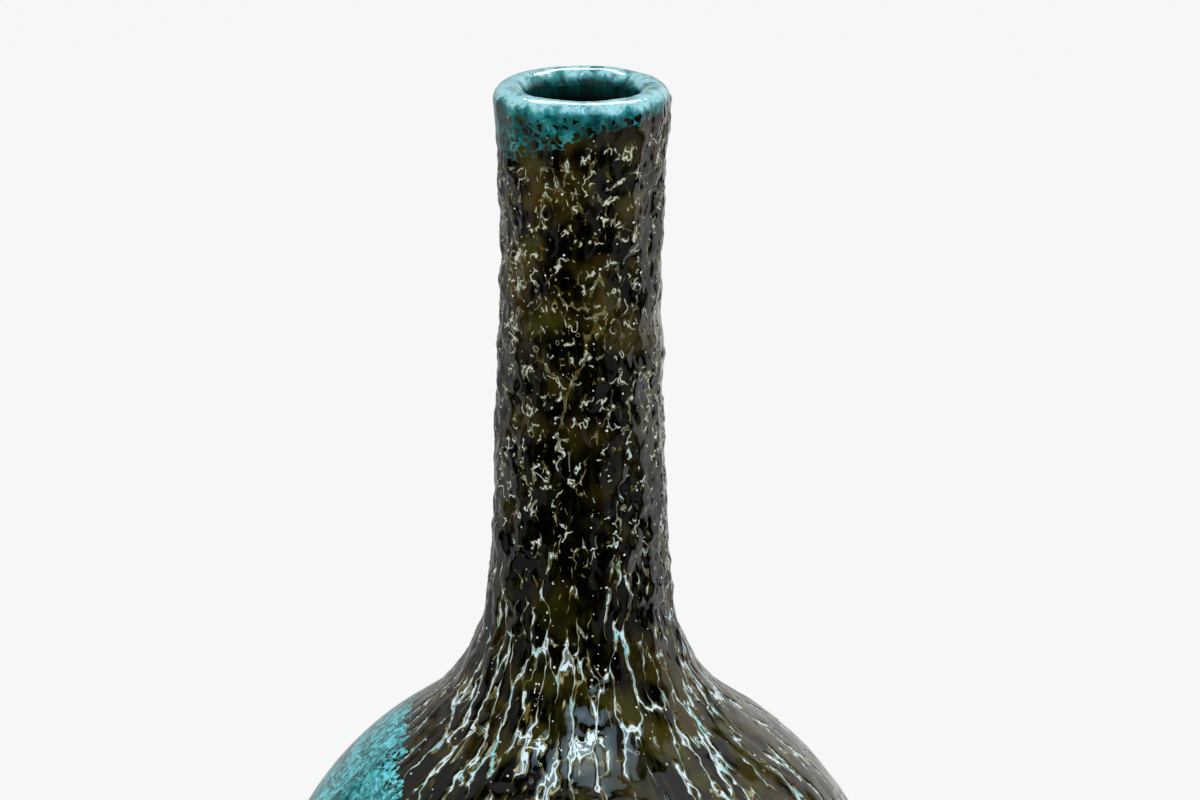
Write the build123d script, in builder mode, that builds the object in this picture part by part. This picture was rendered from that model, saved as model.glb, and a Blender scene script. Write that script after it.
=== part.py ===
from build123d import *
import os
from math import sqrt

# Bottle vase: a thrown clay globe on a luted foot ring, a long thrown neck whose root stands in the
# globe's mouth, a collar of clay that seals that joint and makes the flare, and the glaze coats fired
# over them. Millimetres, +Z up, origin on the table at the centre of the foot, photographed from -Y.

# Glaze
glaze_thickness = 1.0           # clay to the outside of every coat, inside and out
glaze_line_height = 4.0         # bare clay left between the globe's seat and the outer coat
rim_line_drop = 9.0             # centre of the lip roll down to the end of the rim coat, on the axis
rim_line_tilt = 14.0            # degrees, lower towards -X
shoulder_line_rise = 12.0       # end of the neck coat above the toe of the flare

# Neck
bore_radius = 15.2              # glazed bore
neck_wall = 5.0                 # clay, at the waist
lip_swell = 1.8                 # how much thicker than the wall the rolled lip is
neck_length = 168.6             # top of the globe's sphere up to the centre of the lip roll
lip_sweep_radius = 326.0        # hollow of the neck from the lip down to the waist
neck_sweep_radius = 1726.0      # hollow of the neck from the waist down to the flare

# Collar round the neck's root
flare_radius = 58.5             # hollow of the flare, from the neck out to the globe
collar_land = 1.6               # thickness of the collar at its two thin edges

# Globe
globe_radius = 91.0
globe_wall = 6.5
floor_thickness = 7.0
floor_round = 9.0               # corner between the inside floor and the wall

# Foot ring
foot_outer_radius = 44.0
foot_width = 7.0
foot_height = 5.0
foot_round = 1.4                # worn lower edges of the ring
foot_inset = 2.0                # globe's flat seat past the outside of the ring

# Ovals of the second glaze on the globe: bearings in degrees about +Z from +X, and shares of the glazed
# globe's radius for half the width, half the height and the rise of the middle above the globe's centre
left_field_bearing = 177.0
left_field_width_share = 0.75
left_field_height_share = 0.78
left_field_rise_share = 0.08
rear_field_bearing = 52.0
rear_field_width_share = 0.43
rear_field_height_share = 0.56
rear_field_rise_share = -0.11
field_overrun = 3.0             # past the outside of the coat

# Sizes that follow
neck_bore = bore_radius + glaze_thickness
lip_roll = (neck_wall + lip_swell) / 2
lip_ring_radius = neck_bore + lip_roll
waist_radius = neck_bore + neck_wall
seat_radius = foot_outer_radius + foot_inset
cavity_radius = globe_radius - globe_wall
coat_radius = globe_radius + glaze_thickness
floor_height = foot_height + floor_thickness
glaze_foot = foot_height + glaze_line_height

# Centres of the outline's arcs, each as (distance from the axis, height)
globe_centre = Vector(0, foot_height + sqrt(globe_radius**2 - seat_radius**2))
lip_centre = Vector(lip_ring_radius, globe_centre.Y + globe_radius + neck_length)
lip_sweep_reach = waist_radius + lip_sweep_radius - lip_ring_radius
waist_height = lip_centre.Y - sqrt((lip_sweep_radius + lip_roll) ** 2 - lip_sweep_reach**2)
lip_sweep_centre = Vector(waist_radius + lip_sweep_radius, waist_height)
neck_sweep_centre = Vector(waist_radius + neck_sweep_radius, waist_height)


def toward(centre, target, distance):
    return centre + (target - centre).normalized() * distance


def upper_meeting(centre_a, radius_a, centre_b, radius_b):
    # the higher of the two points where two circles cross
    span = (centre_b - centre_a).length
    along = (span**2 + radius_a**2 - radius_b**2) / (2 * span)
    across = sqrt(radius_a**2 - along**2)
    direction = (centre_b - centre_a).normalized()
    foot = centre_a + direction * along
    side = Vector(-direction.Y, direction.X) * across
    return max(foot + side, foot - side, key=lambda point: point.Y)


# The flare touches both the neck's hollow and the globe
flare_centre = upper_meeting(
    neck_sweep_centre, neck_sweep_radius - flare_radius, globe_centre, globe_radius + flare_radius
)


def arc_about(centre, start, end):
    # the short arc from start to end about a centre
    middle = ((start - centre) + (end - centre)).normalized() * (start - centre).length
    return ThreePointArc(start, centre + middle, end)


def globe_edge(radius, height):
    # the point at a height on a sphere about the globe's centre
    return Vector(sqrt(radius**2 - (height - globe_centre.Y) ** 2), height)


# The outside from the mouth down to the end of the coat, grown outwards by a thickness
skin_centres = [lip_centre, lip_centre, lip_sweep_centre, neck_sweep_centre, flare_centre, globe_centre]


def skin_points(growth):
    return [
        lip_centre - Vector(lip_roll + growth, 0),
        lip_centre + Vector(0, lip_roll + growth),
        toward(lip_centre, lip_sweep_centre, lip_roll + growth),
        Vector(waist_radius + growth, waist_height),
        toward(neck_sweep_centre, flare_centre, neck_sweep_radius - growth),
        toward(globe_centre, flare_centre, globe_radius + growth),
        globe_edge(globe_radius + growth, glaze_foot),
    ]


def skin_line(growth, last_centre):
    points = skin_points(growth)
    for index in range(skin_centres.index(last_centre) + 1):
        arc_about(skin_centres[index], points[index], points[index + 1])


mouth, crest, lip_edge, waist, flare_top, flare_toe, coat_end = skin_points(0)

# The joint: the neck's root is stepped in under the flare, and the collar lies in a shallow seat
root_radius = flare_top.X - collar_land
seat_sphere = globe_radius - collar_land
root_foot = Vector(root_radius, globe_centre.Y + sqrt(cavity_radius**2 - root_radius**2))
root_seat = Vector(root_radius, globe_centre.Y + sqrt(seat_sphere**2 - root_radius**2))
collar_step = toward(globe_centre, flare_centre, seat_sphere)

os.makedirs("parts", exist_ok=True)

# Clay globe, flat underneath for the foot ring, with the neck's hole through its top
floor_edge = globe_edge(cavity_radius, floor_height)
with BuildPart() as body_globe:
    with BuildSketch(Plane.XZ) as globe_section:
        with BuildLine():
            arc_about(globe_centre, root_seat, collar_step)
            Line(collar_step, flare_toe)
            arc_about(globe_centre, flare_toe, Vector(seat_radius, foot_height))
            Polyline((seat_radius, foot_height), (0, foot_height), (0, floor_height), floor_edge)
            arc_about(globe_centre, floor_edge, root_foot)
            Line(root_foot, root_seat)
        make_face()
        fillet(globe_section.vertices().sort_by_distance(floor_edge)[0], floor_round)
    revolve(axis=Axis.Z)
body_globe.part.label = "body_globe"
export_step(body_globe.part, "parts/body_globe.step")

# Clay neck with its rolled lip and a straight bore; the root goes through the globe's wall
with BuildPart() as neck_tube:
    with BuildSketch(Plane.XZ):
        with BuildLine():
            skin_line(0, neck_sweep_centre)
            Polyline(
                flare_top, (root_radius, flare_top.Y), root_foot, (neck_bore, root_foot.Y), mouth
            )
        make_face()
    revolve(axis=Axis.Z)
neck_tube.part.label = "neck_tube"
export_step(neck_tube.part, "parts/neck_tube.step")

# Clay collar pressed round the root, hollowed to the flare
with BuildPart() as shoulder_collar:
    with BuildSketch(Plane.XZ):
        with BuildLine():
            arc_about(flare_centre, flare_top, flare_toe)
            Line(flare_toe, collar_step)
            arc_about(globe_centre, collar_step, root_seat)
            Polyline(root_seat, (root_radius, flare_top.Y), flare_top)
        make_face()
    revolve(axis=Axis.Z)
shoulder_collar.part.label = "shoulder_collar"
export_step(shoulder_collar.part, "parts/shoulder_collar.step")

# Clay foot ring, luted under the globe
with BuildPart() as foot_ring:
    with BuildSketch():
        Circle(foot_outer_radius)
        Circle(foot_outer_radius - foot_width, mode=Mode.SUBTRACT)
    extrude(amount=foot_height)
    fillet(foot_ring.faces().sort_by(Axis.Z)[0].edges(), foot_round)
foot_ring.part.label = "foot_ring"
export_step(foot_ring.part, "parts/foot_ring.step")

# The outer coat as one skin, which the next pieces are cut from
coat_face = skin_points(glaze_thickness)
with BuildPart() as outer_coat:
    with BuildSketch(Plane.XZ):
        with BuildLine():
            skin_line(0, globe_centre)
            skin_line(glaze_thickness, globe_centre)
            Line(mouth, coat_face[0])
            Line(coat_end, coat_face[-1])
        make_face()
    revolve(axis=Axis.Z)

rim_line = Plane((0, 0, lip_centre.Y - rim_line_drop)).rotated((0, -rim_line_tilt, 0))
shoulder_line = Plane((0, 0, flare_toe.Y + shoulder_line_rise))

# Rim coat, over the lip and down to the slanting line
with BuildPart() as rim_glaze:
    add(outer_coat.part)
    split(bisect_by=rim_line, keep=Keep.TOP)
rim_glaze.part.label = "rim_glaze"
export_step(rim_glaze.part, "parts/rim_glaze.step")

# Neck coat, from that line down over the flare
with BuildPart() as neck_glaze:
    add(outer_coat.part)
    split(bisect_by=rim_line, keep=Keep.BOTTOM)
    split(bisect_by=shoulder_line, keep=Keep.TOP)
neck_glaze.part.label = "neck_glaze"
export_step(neck_glaze.part, "parts/neck_glaze.step")


def field_prism(bearing, width_share, height_share, rise_share):
    # an oval that runs out from the axis through the coat, towards a bearing
    outward = Vector(1, 0, 0).rotate(Axis.Z, bearing)
    middle = (0, 0, globe_centre.Y + rise_share * coat_radius)
    with BuildPart() as prism:
        with BuildSketch(Plane(middle, x_dir=(0, 0, 1), z_dir=outward)):
            Ellipse(height_share * coat_radius, width_share * coat_radius)
        extrude(amount=coat_radius + field_overrun)
    return prism.part


left_field = field_prism(
    left_field_bearing, left_field_width_share, left_field_height_share, left_field_rise_share
)
rear_field = field_prism(
    rear_field_bearing, rear_field_width_share, rear_field_height_share, rear_field_rise_share
)

# Globe coat, with the two ovals left out of it
with BuildPart() as body_glaze:
    add(outer_coat.part)
    split(bisect_by=shoulder_line, keep=Keep.BOTTOM)
    add(left_field, mode=Mode.SUBTRACT)
    add(rear_field, mode=Mode.SUBTRACT)
body_glaze.part.label = "body_glaze"
export_step(body_glaze.part, "parts/body_glaze.step")

# The two ovals
with BuildPart() as left_field_glaze:
    add(outer_coat.part)
    split(bisect_by=shoulder_line, keep=Keep.BOTTOM)
    add(left_field, mode=Mode.INTERSECT)
left_field_glaze.part.label = "left_field_glaze"
export_step(left_field_glaze.part, "parts/left_field_glaze.step")

with BuildPart() as rear_field_glaze:
    add(outer_coat.part)
    split(bisect_by=shoulder_line, keep=Keep.BOTTOM)
    add(rear_field, mode=Mode.INTERSECT)
rear_field_glaze.part.label = "rear_field_glaze"
export_step(rear_field_glaze.part, "parts/rear_field_glaze.step")


def hollow(inset):
    # the space inside the vase, taken in by a thickness
    bore = neck_bore - inset
    ceiling = root_foot.Y - inset
    floor = floor_height + inset
    sphere = cavity_radius - inset
    corner = globe_edge(sphere, floor)
    brow = globe_edge(sphere, ceiling)
    with BuildPart() as space:
        with BuildSketch(Plane.XZ) as half:
            with BuildLine():
                Polyline(
                    brow, (bore, ceiling), (bore, lip_centre.Y), (0, lip_centre.Y), (0, floor), corner
                )
                arc_about(globe_centre, corner, brow)
            make_face()
            fillet(half.vertices().sort_by_distance(corner)[0], floor_round - inset)
        revolve(axis=Axis.Z)
    return space.part


# Coat poured inside, from the mouth down the bore and over the inside of the globe
clay_hollow = hollow(0)
glazed_hollow = hollow(glaze_thickness)
with BuildPart() as liner_glaze:
    add(clay_hollow)
    add(glazed_hollow, mode=Mode.SUBTRACT)
liner_glaze.part.label = "liner_glaze"
export_step(liner_glaze.part, "parts/liner_glaze.step")

print("height", round(lip_centre.Y + lip_roll + glaze_thickness, 3))
print("width", round(2 * coat_radius, 3))
print("globe centre", round(globe_centre.Y, 3), "lip centre", round(lip_centre.Y, 3))
print("flare top", round(flare_top.X, 3), round(flare_top.Y, 3))
print("flare toe", round(flare_toe.X, 3), round(flare_toe.Y, 3))
print("waist height", round(waist_height, 3), "bore foot", round(root_foot.Y - glaze_thickness, 3))
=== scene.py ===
import math
import bpy
import numpy as np
from mathutils import Matrix, Vector


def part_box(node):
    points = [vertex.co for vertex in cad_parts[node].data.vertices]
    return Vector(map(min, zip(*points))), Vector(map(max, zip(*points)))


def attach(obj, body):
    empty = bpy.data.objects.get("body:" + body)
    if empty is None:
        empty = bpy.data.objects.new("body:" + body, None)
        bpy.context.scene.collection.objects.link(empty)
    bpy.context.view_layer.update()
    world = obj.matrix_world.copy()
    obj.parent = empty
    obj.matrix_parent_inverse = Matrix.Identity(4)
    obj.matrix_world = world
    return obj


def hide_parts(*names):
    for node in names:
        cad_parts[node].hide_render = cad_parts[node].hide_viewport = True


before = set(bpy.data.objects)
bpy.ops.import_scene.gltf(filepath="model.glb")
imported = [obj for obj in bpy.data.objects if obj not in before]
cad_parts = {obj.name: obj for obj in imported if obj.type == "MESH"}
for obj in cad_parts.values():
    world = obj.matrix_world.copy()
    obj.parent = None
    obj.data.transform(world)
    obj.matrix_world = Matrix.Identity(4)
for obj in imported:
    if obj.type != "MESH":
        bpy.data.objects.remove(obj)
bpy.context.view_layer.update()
print("frame loaded, nodes:", sorted(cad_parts))

# the glazed outside of the vase, in metres
vaseForm = {
    "boreRadius": 0.0152,
    "lipRoll": 0.0044,
    "waistRadius": 0.0222,
    "lipSweep": 0.325,  # hollow from the lip down to the waist
    "neckSweep": 1.725,  # hollow from the waist down to the flare
    "flareSweep": 0.0575,
    "globeRadius": 0.092,
    "globeCentre": 0.083518,
}
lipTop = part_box("rim_glaze")[1].z
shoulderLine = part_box("neck_glaze")[0].z
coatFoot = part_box("body_glaze")[0].z
lipCentre = np.array([vaseForm["boreRadius"] + vaseForm["lipRoll"], lipTop - vaseForm["lipRoll"]])
globeCentre = np.array([0.0, vaseForm["globeCentre"]])


# the camera of the photo
cameraView = {
    "place": (0.0054, -1.0497, 0.6166),
    "lens": 120.0,
    "sensor": 36.0,
    "pitch": 18.90,  # degrees down
    "roll": 0.33,
    "clip": (0.01, 50.0),
}


def makeCamera():
    view = cameraView
    bpy.ops.object.camera_add(location=view["place"])
    camera = bpy.context.object
    camera.name = "photoCamera"
    camera.data.lens = view["lens"]
    camera.data.sensor_width = view["sensor"]
    camera.data.clip_start, camera.data.clip_end = view["clip"]
    tilt = Matrix.Rotation(math.radians(90.0 - view["pitch"]), 4, "X")
    turn = Matrix.Rotation(math.radians(view["roll"]), 4, "Z")
    camera.matrix_world = Matrix.Translation(view["place"]) @ tilt @ turn
    bpy.context.scene.camera = camera
    print("camera set")


# the outline of the glazed outside, as arcs from the mouth down to the foot of the coat
def circlesMeet(centreA, radiusA, centreB, radiusB):
    between = centreB - centreA
    span = np.hypot(*between)
    along = (span**2 + radiusA**2 - radiusB**2) / (2 * span)
    across = math.sqrt(radiusA**2 - along**2)
    unit = between / span
    foot = centreA + unit * along
    side = np.array([-unit[1], unit[0]]) * across
    return max(foot + side, foot - side, key=lambda point: point[1])


def heading(start, end):
    return math.atan2(end[1] - start[1], end[0] - start[0]) % (2 * math.pi)


def outlineArcs():
    form = vaseForm
    reach = form["waistRadius"] + form["lipSweep"] - lipCentre[0]
    waistHeight = lipCentre[1] - math.sqrt((form["lipSweep"] + form["lipRoll"]) ** 2 - reach**2)
    lipSweepCentre = np.array([form["waistRadius"] + form["lipSweep"], waistHeight])
    neckSweepCentre = np.array([form["waistRadius"] + form["neckSweep"], waistHeight])
    flareCentre = circlesMeet(
        neckSweepCentre, form["neckSweep"] - form["flareSweep"],
        globeCentre, form["globeRadius"] + form["flareSweep"],
    )
    lipEnd = heading(lipCentre, lipSweepCentre) - 2 * math.pi
    flareStart = heading(neckSweepCentre, flareCentre)
    flareSplit = math.pi - math.asin((shoulderLine - flareCentre[1]) / form["flareSweep"])
    flareEnd = heading(flareCentre, globeCentre)
    globeStart = heading(globeCentre, flareCentre)
    globeEnd = math.asin((coatFoot - globeCentre[1]) / form["globeRadius"])
    # centre, radius, first angle, last angle, and 1 where the arc bulges out of the vase
    neckArcs = [
        (lipCentre, form["lipRoll"], math.pi, lipEnd, 1),
        (lipSweepCentre, form["lipSweep"], lipEnd + math.pi, math.pi, -1),
        (neckSweepCentre, form["neckSweep"], math.pi, flareStart, -1),
        (flareCentre, form["flareSweep"], flareStart, flareSplit, -1),
    ]
    globeArcs = [
        (flareCentre, form["flareSweep"], flareSplit, flareEnd, -1),
        (globeCentre, form["globeRadius"], globeStart, globeEnd, 1),
    ]
    return neckArcs, globeArcs


def walkArcs(arcs, spacing, start=0.0):
    rows = []
    travelled = start
    for centre, radius, first, last, bulge in arcs:
        count = max(2, round(abs(last - first) * radius / spacing))
        for angle in np.linspace(first, last, count + 1)[1 if rows else 0:]:
            unit = np.array([math.cos(angle), math.sin(angle)])
            length = travelled + abs(angle - first) * radius
            rows.append((*(centre + unit * radius), length, *(unit * bulge)))
        travelled += abs(last - first) * radius
    return np.array(rows)  # distance from the axis, height, length along, outward normal


# the grids that the coats are made from
gridSizes = {
    "neckSpacing": 0.0006,
    "neckSteps": 288,
    "globeSpacing": 0.0009,
    "globeSteps": 540,
    "startSize": 0.002,  # of the plane that is merged into the first point
    "mergeWithin": 2e-6,
}


def setMode(mode):
    bpy.ops.object.mode_set(mode=mode)


def spinOutline(name, rows, steps):
    bpy.ops.mesh.primitive_plane_add(size=gridSizes["startSize"], location=(rows[0][0], 0.0, rows[0][1]))
    piece = bpy.context.object
    piece.name = name
    bpy.ops.object.transform_apply(location=True, rotation=True, scale=True)
    setMode("EDIT")
    bpy.ops.mesh.select_all(action="SELECT")
    bpy.ops.mesh.merge(type="CENTER")
    for here, there in zip(rows[:-1], rows[1:]):
        move = (there[0] - here[0], 0.0, there[1] - here[1])
        bpy.ops.mesh.extrude_region_move(TRANSFORM_OT_translate={"value": move})
    setMode("OBJECT")
    turn = piece.modifiers.new("turn", "SCREW")
    turn.axis = "Z"
    turn.angle = 2 * math.pi
    turn.steps = steps
    turn.render_steps = steps
    turn.use_merge_vertices = True
    turn.merge_threshold = gridSizes["mergeWithin"]
    bpy.ops.object.modifier_apply(modifier="turn")
    setMode("EDIT")
    bpy.ops.mesh.select_all(action="SELECT")
    bpy.ops.mesh.normals_make_consistent(inside=False)
    setMode("OBJECT")
    # the open grid may have come out inside out
    face = piece.data.polygons[0]
    middle = readPoints(piece)[list(face.vertices)].mean(axis=0)
    radius = np.hypot(middle[0], middle[1])
    if np.dot(face.normal, [rows[0][3] * middle[0], rows[0][3] * middle[1], rows[0][4] * radius]) < 0:
        piece.data.flip_normals()
    bpy.ops.object.shade_smooth()
    return piece


def readNumbers(parts, name, each=1, kind=np.float32):
    numbers = np.empty(len(parts) * each, kind)
    parts.foreach_get(name, numbers)
    return numbers if each == 1 else numbers.reshape(-1, each)


def readPoints(piece):
    return readNumbers(piece.data.vertices, "co", 3).astype(float)


def storeVectors(piece, name, vectors):
    made = piece.data.attributes.new(name, "FLOAT_VECTOR", "POINT")
    made.data.foreach_set("vector", np.ascontiguousarray(vectors, np.float32).ravel())


def readVectors(piece, name):
    return readNumbers(piece.data.attributes[name].data, "vector", 3).astype(float)


# the glaze ran down the vase: cells of the pattern are this long and this many to the radius
flowSizes = {
    "heights": (0.0, 0.08, 0.13, 0.16, 0.185, 0.205, 0.225, 0.27, 0.30, 0.36),
    "cellLengths": (0.034, 0.034, 0.033, 0.032, 0.028, 0.019, 0.0085, 0.0070, 0.0058, 0.0052),
    "cellRadii": (10.0, 9.8, 9.0, 8.2, 7.0, 5.8, 5.0, 4.8, 5.4, 6.0),
}


def storeFlow(piece, rows, ranBefore=0.0):
    places = readPoints(piece)
    row = np.arange(len(places)) % len(rows)  # the turn copies the outline once a step
    around = np.arctan2(places[:, 1], places[:, 0])
    error = np.abs(np.hypot(places[:, 0], places[:, 1]) - rows[row, 0]).max()
    print("rows matched, largest error:", error)
    rates = 1.0 / np.interp(rows[:, 1], flowSizes["heights"], flowSizes["cellLengths"])
    steps = np.diff(rows[:, 2]) * (rates[1:] + rates[:-1]) / 2
    ran = ranBefore + np.concatenate([[0.0], np.cumsum(steps)])
    radius = np.interp(places[:, 2], flowSizes["heights"], flowSizes["cellRadii"])
    storeVectors(piece, "flow", np.c_[radius * np.cos(around), radius * np.sin(around), ran[row]])
    level, rising = rows[row, 3], rows[row, 4]
    storeVectors(piece, "outward", np.c_[level * np.cos(around), level * np.sin(around), rising])
    return ran[-1]


# small helpers for node trees; the same recipe makes the relief and the colours
upward = (0.0, 0.0, 1.0)
rightward = (1.0, 0.0, 0.0)


def feed(tree, socket, value):
    if isinstance(value, bpy.types.NodeSocket):
        tree.links.new(value, socket)
    elif value is not None:
        socket.default_value = value


def put(tree, kind, inputs=None, **settings):
    node = tree.nodes.new(kind)
    for name, value in settings.items():
        setattr(node, name, value)
    for name, value in (inputs or {}).items():
        feed(tree, node.inputs[name], value)
    return node


def calc(tree, operation, first, second=None, third=None):
    node = put(tree, "ShaderNodeMath", operation=operation)
    for socket, value in zip(node.inputs, (first, second, third)):
        feed(tree, socket, value)
    return node.outputs[0]


def plus(tree, first, second):
    return calc(tree, "ADD", first, second)


def minus(tree, first, second):
    return calc(tree, "SUBTRACT", first, second)


def times(tree, first, second):
    return calc(tree, "MULTIPLY", first, second)


def timesPlus(tree, first, second, third):
    return calc(tree, "MULTIPLY_ADD", first, second, third)


def larger(tree, first, second):
    return calc(tree, "MAXIMUM", first, second)


def centred(tree, value):
    return minus(tree, value, 0.5)


def vectorCalc(tree, operation, first, second=None, scale=None):
    node = put(tree, "ShaderNodeVectorMath", operation=operation)
    feed(tree, node.inputs[0], first)
    if second is not None:
        feed(tree, node.inputs[1], second)
    if scale is not None:
        feed(tree, node.inputs["Scale"], scale)
    return node.outputs["Value" if operation in ("LENGTH", "DOT_PRODUCT") else 0]


def along(tree, place, direction):
    return vectorCalc(tree, "DOT_PRODUCT", place, direction)


def ramp(tree, value, low, high, lowOut=0.0, highOut=1.0, smooth=True):
    node = put(
        tree, "ShaderNodeMapRange",
        {"Value": value, "From Min": low, "From Max": high, "To Min": lowOut, "To Max": highOut},
        interpolation_type="SMOOTHSTEP" if smooth else "LINEAR",
    )
    node.clamp = True
    return node.outputs["Result"]


def blend(tree, share, pair, smooth=True):
    return ramp(tree, share, 0.0, 1.0, *pair, smooth=smooth)


def noise(tree, place, scale, detail=2.0, roughness=0.5, colour=False, swirl=0.0):
    node = put(
        tree, "ShaderNodeTexNoise",
        {"Vector": place, "Scale": scale, "Detail": detail, "Roughness": roughness, "Distortion": swirl},
    )
    return node.outputs["Color" if colour else 0]


def drift(tree, place, scale, detail=2.0, roughness=0.5):
    shifts = noise(tree, place, scale, detail, roughness, colour=True)
    return vectorCalc(tree, "SUBTRACT", shifts, (0.5, 0.5, 0.5))


def shifted(tree, place, direction, reach):
    return vectorCalc(tree, "ADD", place, vectorCalc(tree, "SCALE", direction, scale=reach))


def strayed(tree, place, scale, reach, detail=1.0):
    return shifted(tree, place, noise(tree, place, scale, detail, colour=True), reach)


def cells(tree, place, scale, feature="F1", smoothness=None):
    inputs = {"Vector": place, "Scale": scale, "Randomness": 1.0}
    node = put(tree, "ShaderNodeTexVoronoi", inputs, feature=feature)
    if smoothness is not None:
        feed(tree, node.inputs["Smoothness"], smoothness)
    return node.outputs


def chances(tree, found):
    return put(tree, "ShaderNodeSeparateXYZ", {"Vector": found["Color"]}).outputs


def mixColour(tree, factor, first, second):
    # a colour is a socket, a value or the name of a glaze colour
    node = put(tree, "ShaderNodeMix", data_type="RGBA", blend_type="MIX")
    feed(tree, node.inputs[0], factor)
    feed(tree, node.inputs[6], glazeColours.get(first, first))
    feed(tree, node.inputs[7], glazeColours.get(second, second))
    return node.outputs[2]


def newMaterial(name):
    material = bpy.data.materials.new(name)
    material.use_nodes = True
    material.node_tree.nodes.clear()
    return material, material.node_tree


def showSurface(tree, shader, kind="ShaderNodeOutputMaterial"):
    out = put(tree, kind)
    tree.links.new(shader.outputs[0], out.inputs["Surface"])


def showFinish(tree, look, colour, rough, height):
    # without an ior in the look, the shader keeps its own
    bumps = {"Height": height, "Strength": look["bump"], "Distance": look["bumpReach"]}
    normal = put(tree, "ShaderNodeBump", bumps).outputs[0]
    inputs = {"Base Color": colour, "Roughness": rough, "Normal": normal, "IOR": look.get("ior")}
    showSurface(tree, put(tree, "ShaderNodeBsdfPrincipled", inputs))


# where each glaze lies
glazePlaces = {
    "rimDrop": 0.0056,  # below the centre of the lip
    "rimTilt": 16.5,  # degrees, lower towards -X
    "rimAbove": 0.1,  # turquoise this far above the shoulder line belongs to the rim
    "left": {"bearing": 176.0, "half": (0.0765, 0.0722), "rise": 0.0062},
    "rear": {"bearing": 52.0, "half": (0.0396, 0.0515), "rise": -0.0101},
    "wander": 0.012,  # of the edges
    "wanderScale": 150.0,
}


def fieldDepth(tree, place, bearing, half, rise):
    # about the distance inside an oval on the globe, below zero outside it
    out = (math.cos(math.radians(bearing)), math.sin(math.radians(bearing)), 0.0)
    side = (-out[1], out[0], 0.0)
    local = vectorCalc(tree, "SUBTRACT", place, (0.0, 0.0, float(globeCentre[1]) + rise))
    wide = calc(tree, "DIVIDE", along(tree, local, side), half[0])
    tall = calc(tree, "DIVIDE", along(tree, local, upward), half[1])
    spread = calc(tree, "SQRT", plus(tree, times(tree, wide, wide), times(tree, tall, tall)))
    depth = times(tree, minus(tree, 1.0, spread), min(half))
    return calc(tree, "MINIMUM", depth, along(tree, local, out))


def turquoiseDepth(tree, place):
    # distance in metres inside the turquoise glaze, ragged at its edge
    spots = glazePlaces
    rise = math.tan(math.radians(spots["rimTilt"]))
    rim = minus(tree, along(tree, place, (-rise, 0.0, 1.0)), float(lipCentre[1]) - spots["rimDrop"])
    left = fieldDepth(tree, place, **spots["left"])
    rear = fieldDepth(tree, place, **spots["rear"])
    depth = larger(tree, rim, larger(tree, left, rear))
    wander = centred(tree, noise(tree, place, spots["wanderScale"], 3.0, 0.6))
    return timesPlus(tree, wander, spots["wander"], depth)


# veins between the puddles of dark glaze: spans are metres, zones and slopes are ranges,
# and the other pairs are for the globe and for the neck
veinSizes = {
    "zone": (0.185, 0.235),  # heights between which the globe's veins turn into the neck's
    "stray": 0.55,  # how far the cracks stray, in cells of the flow
    "strayScale": 1.3,
    "curlSpan": 0.0085,  # curls along the cracks
    "curls": (1.00, 1.00, 0.32),
    "soft": (0.50, 0.48),  # softness of the webs where cracks meet
    "closed": (0.057, 0.102),  # a crack shows where it is stronger than this
    "breaks": (0.17, 0.22),  # how unevenly the cracks close
    "breakScale": 1.7,
    "farBreakScale": 0.45,
    "farBreaks": 0.7,
    "level": (0.028, 0.016),  # how much more a crack across the flow closes
    "levelZone": (0.19, 0.235),
    "levelSlope": (0.30, 0.75),
    "thinSpan": 0.0055,  # thick and thin along the cracks
    "thins": 0.10,
    "bands": (1.0, 0.85),  # so that the bands beside a crack are about as wide on the neck
}


def veinField(tree, flow, place, high):
    # above zero in a vein, which is widest where three cracks meet
    sizes = veinSizes
    ran = shifted(tree, flow, drift(tree, flow, sizes["strayScale"], 2.0, 0.6), sizes["stray"])
    curl = vectorCalc(tree, "MULTIPLY", drift(tree, place, 1 / sizes["curlSpan"]), sizes["curls"])
    ran = vectorCalc(tree, "ADD", ran, curl)
    nearest = cells(tree, ran, 1.0)
    second = cells(tree, ran, 1.0, "F2")
    soft = cells(tree, ran, 1.0, "SMOOTH_F1", ramp(tree, high, *sizes["zone"], *sizes["soft"]))
    crack = minus(tree, nearest["Distance"], soft["Distance"])
    apart = vectorCalc(tree, "SUBTRACT", second["Position"], nearest["Position"])
    level = calc(tree, "ABSOLUTE", along(tree, vectorCalc(tree, "NORMALIZE", apart), upward))
    levelled = ramp(tree, high, *sizes["levelZone"], *sizes["level"])
    crack = minus(tree, crack, times(tree, ramp(tree, level, *sizes["levelSlope"]), levelled))
    broken = centred(tree, noise(tree, flow, sizes["breakScale"], 2.0, 0.6))
    farBroken = centred(tree, noise(tree, flow, sizes["farBreakScale"], 1.0))
    broken = plus(tree, broken, times(tree, farBroken, sizes["farBreaks"]))
    closed = ramp(tree, high, *sizes["zone"], *sizes["closed"])
    breaks = ramp(tree, high, *sizes["zone"], *sizes["breaks"])
    opened = minus(tree, crack, timesPlus(tree, broken, breaks, closed))
    thin = centred(tree, noise(tree, place, 1 / sizes["thinSpan"], 1.0))
    opened = timesPlus(tree, thin, sizes["thins"], opened)
    return times(tree, opened, ramp(tree, high, *sizes["zone"], *sizes["bands"]))


# short curls scattered over the neck
fleckSizes = {
    "span": 0.0023,
    "stretch": (1.0, 1.0, 0.75),
    "half": 0.030,
    "gapSpan": 0.0037,
    "gap": 0.50,  # none where the noise of the gaps is below this
    "few": (0.62, 0.595),  # all where it is above this, low and high on the neck
    "fewZone": (0.23, 0.29),
    "drop": 0.12,
    "fadeZone": (0.190, 0.230),
}


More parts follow.
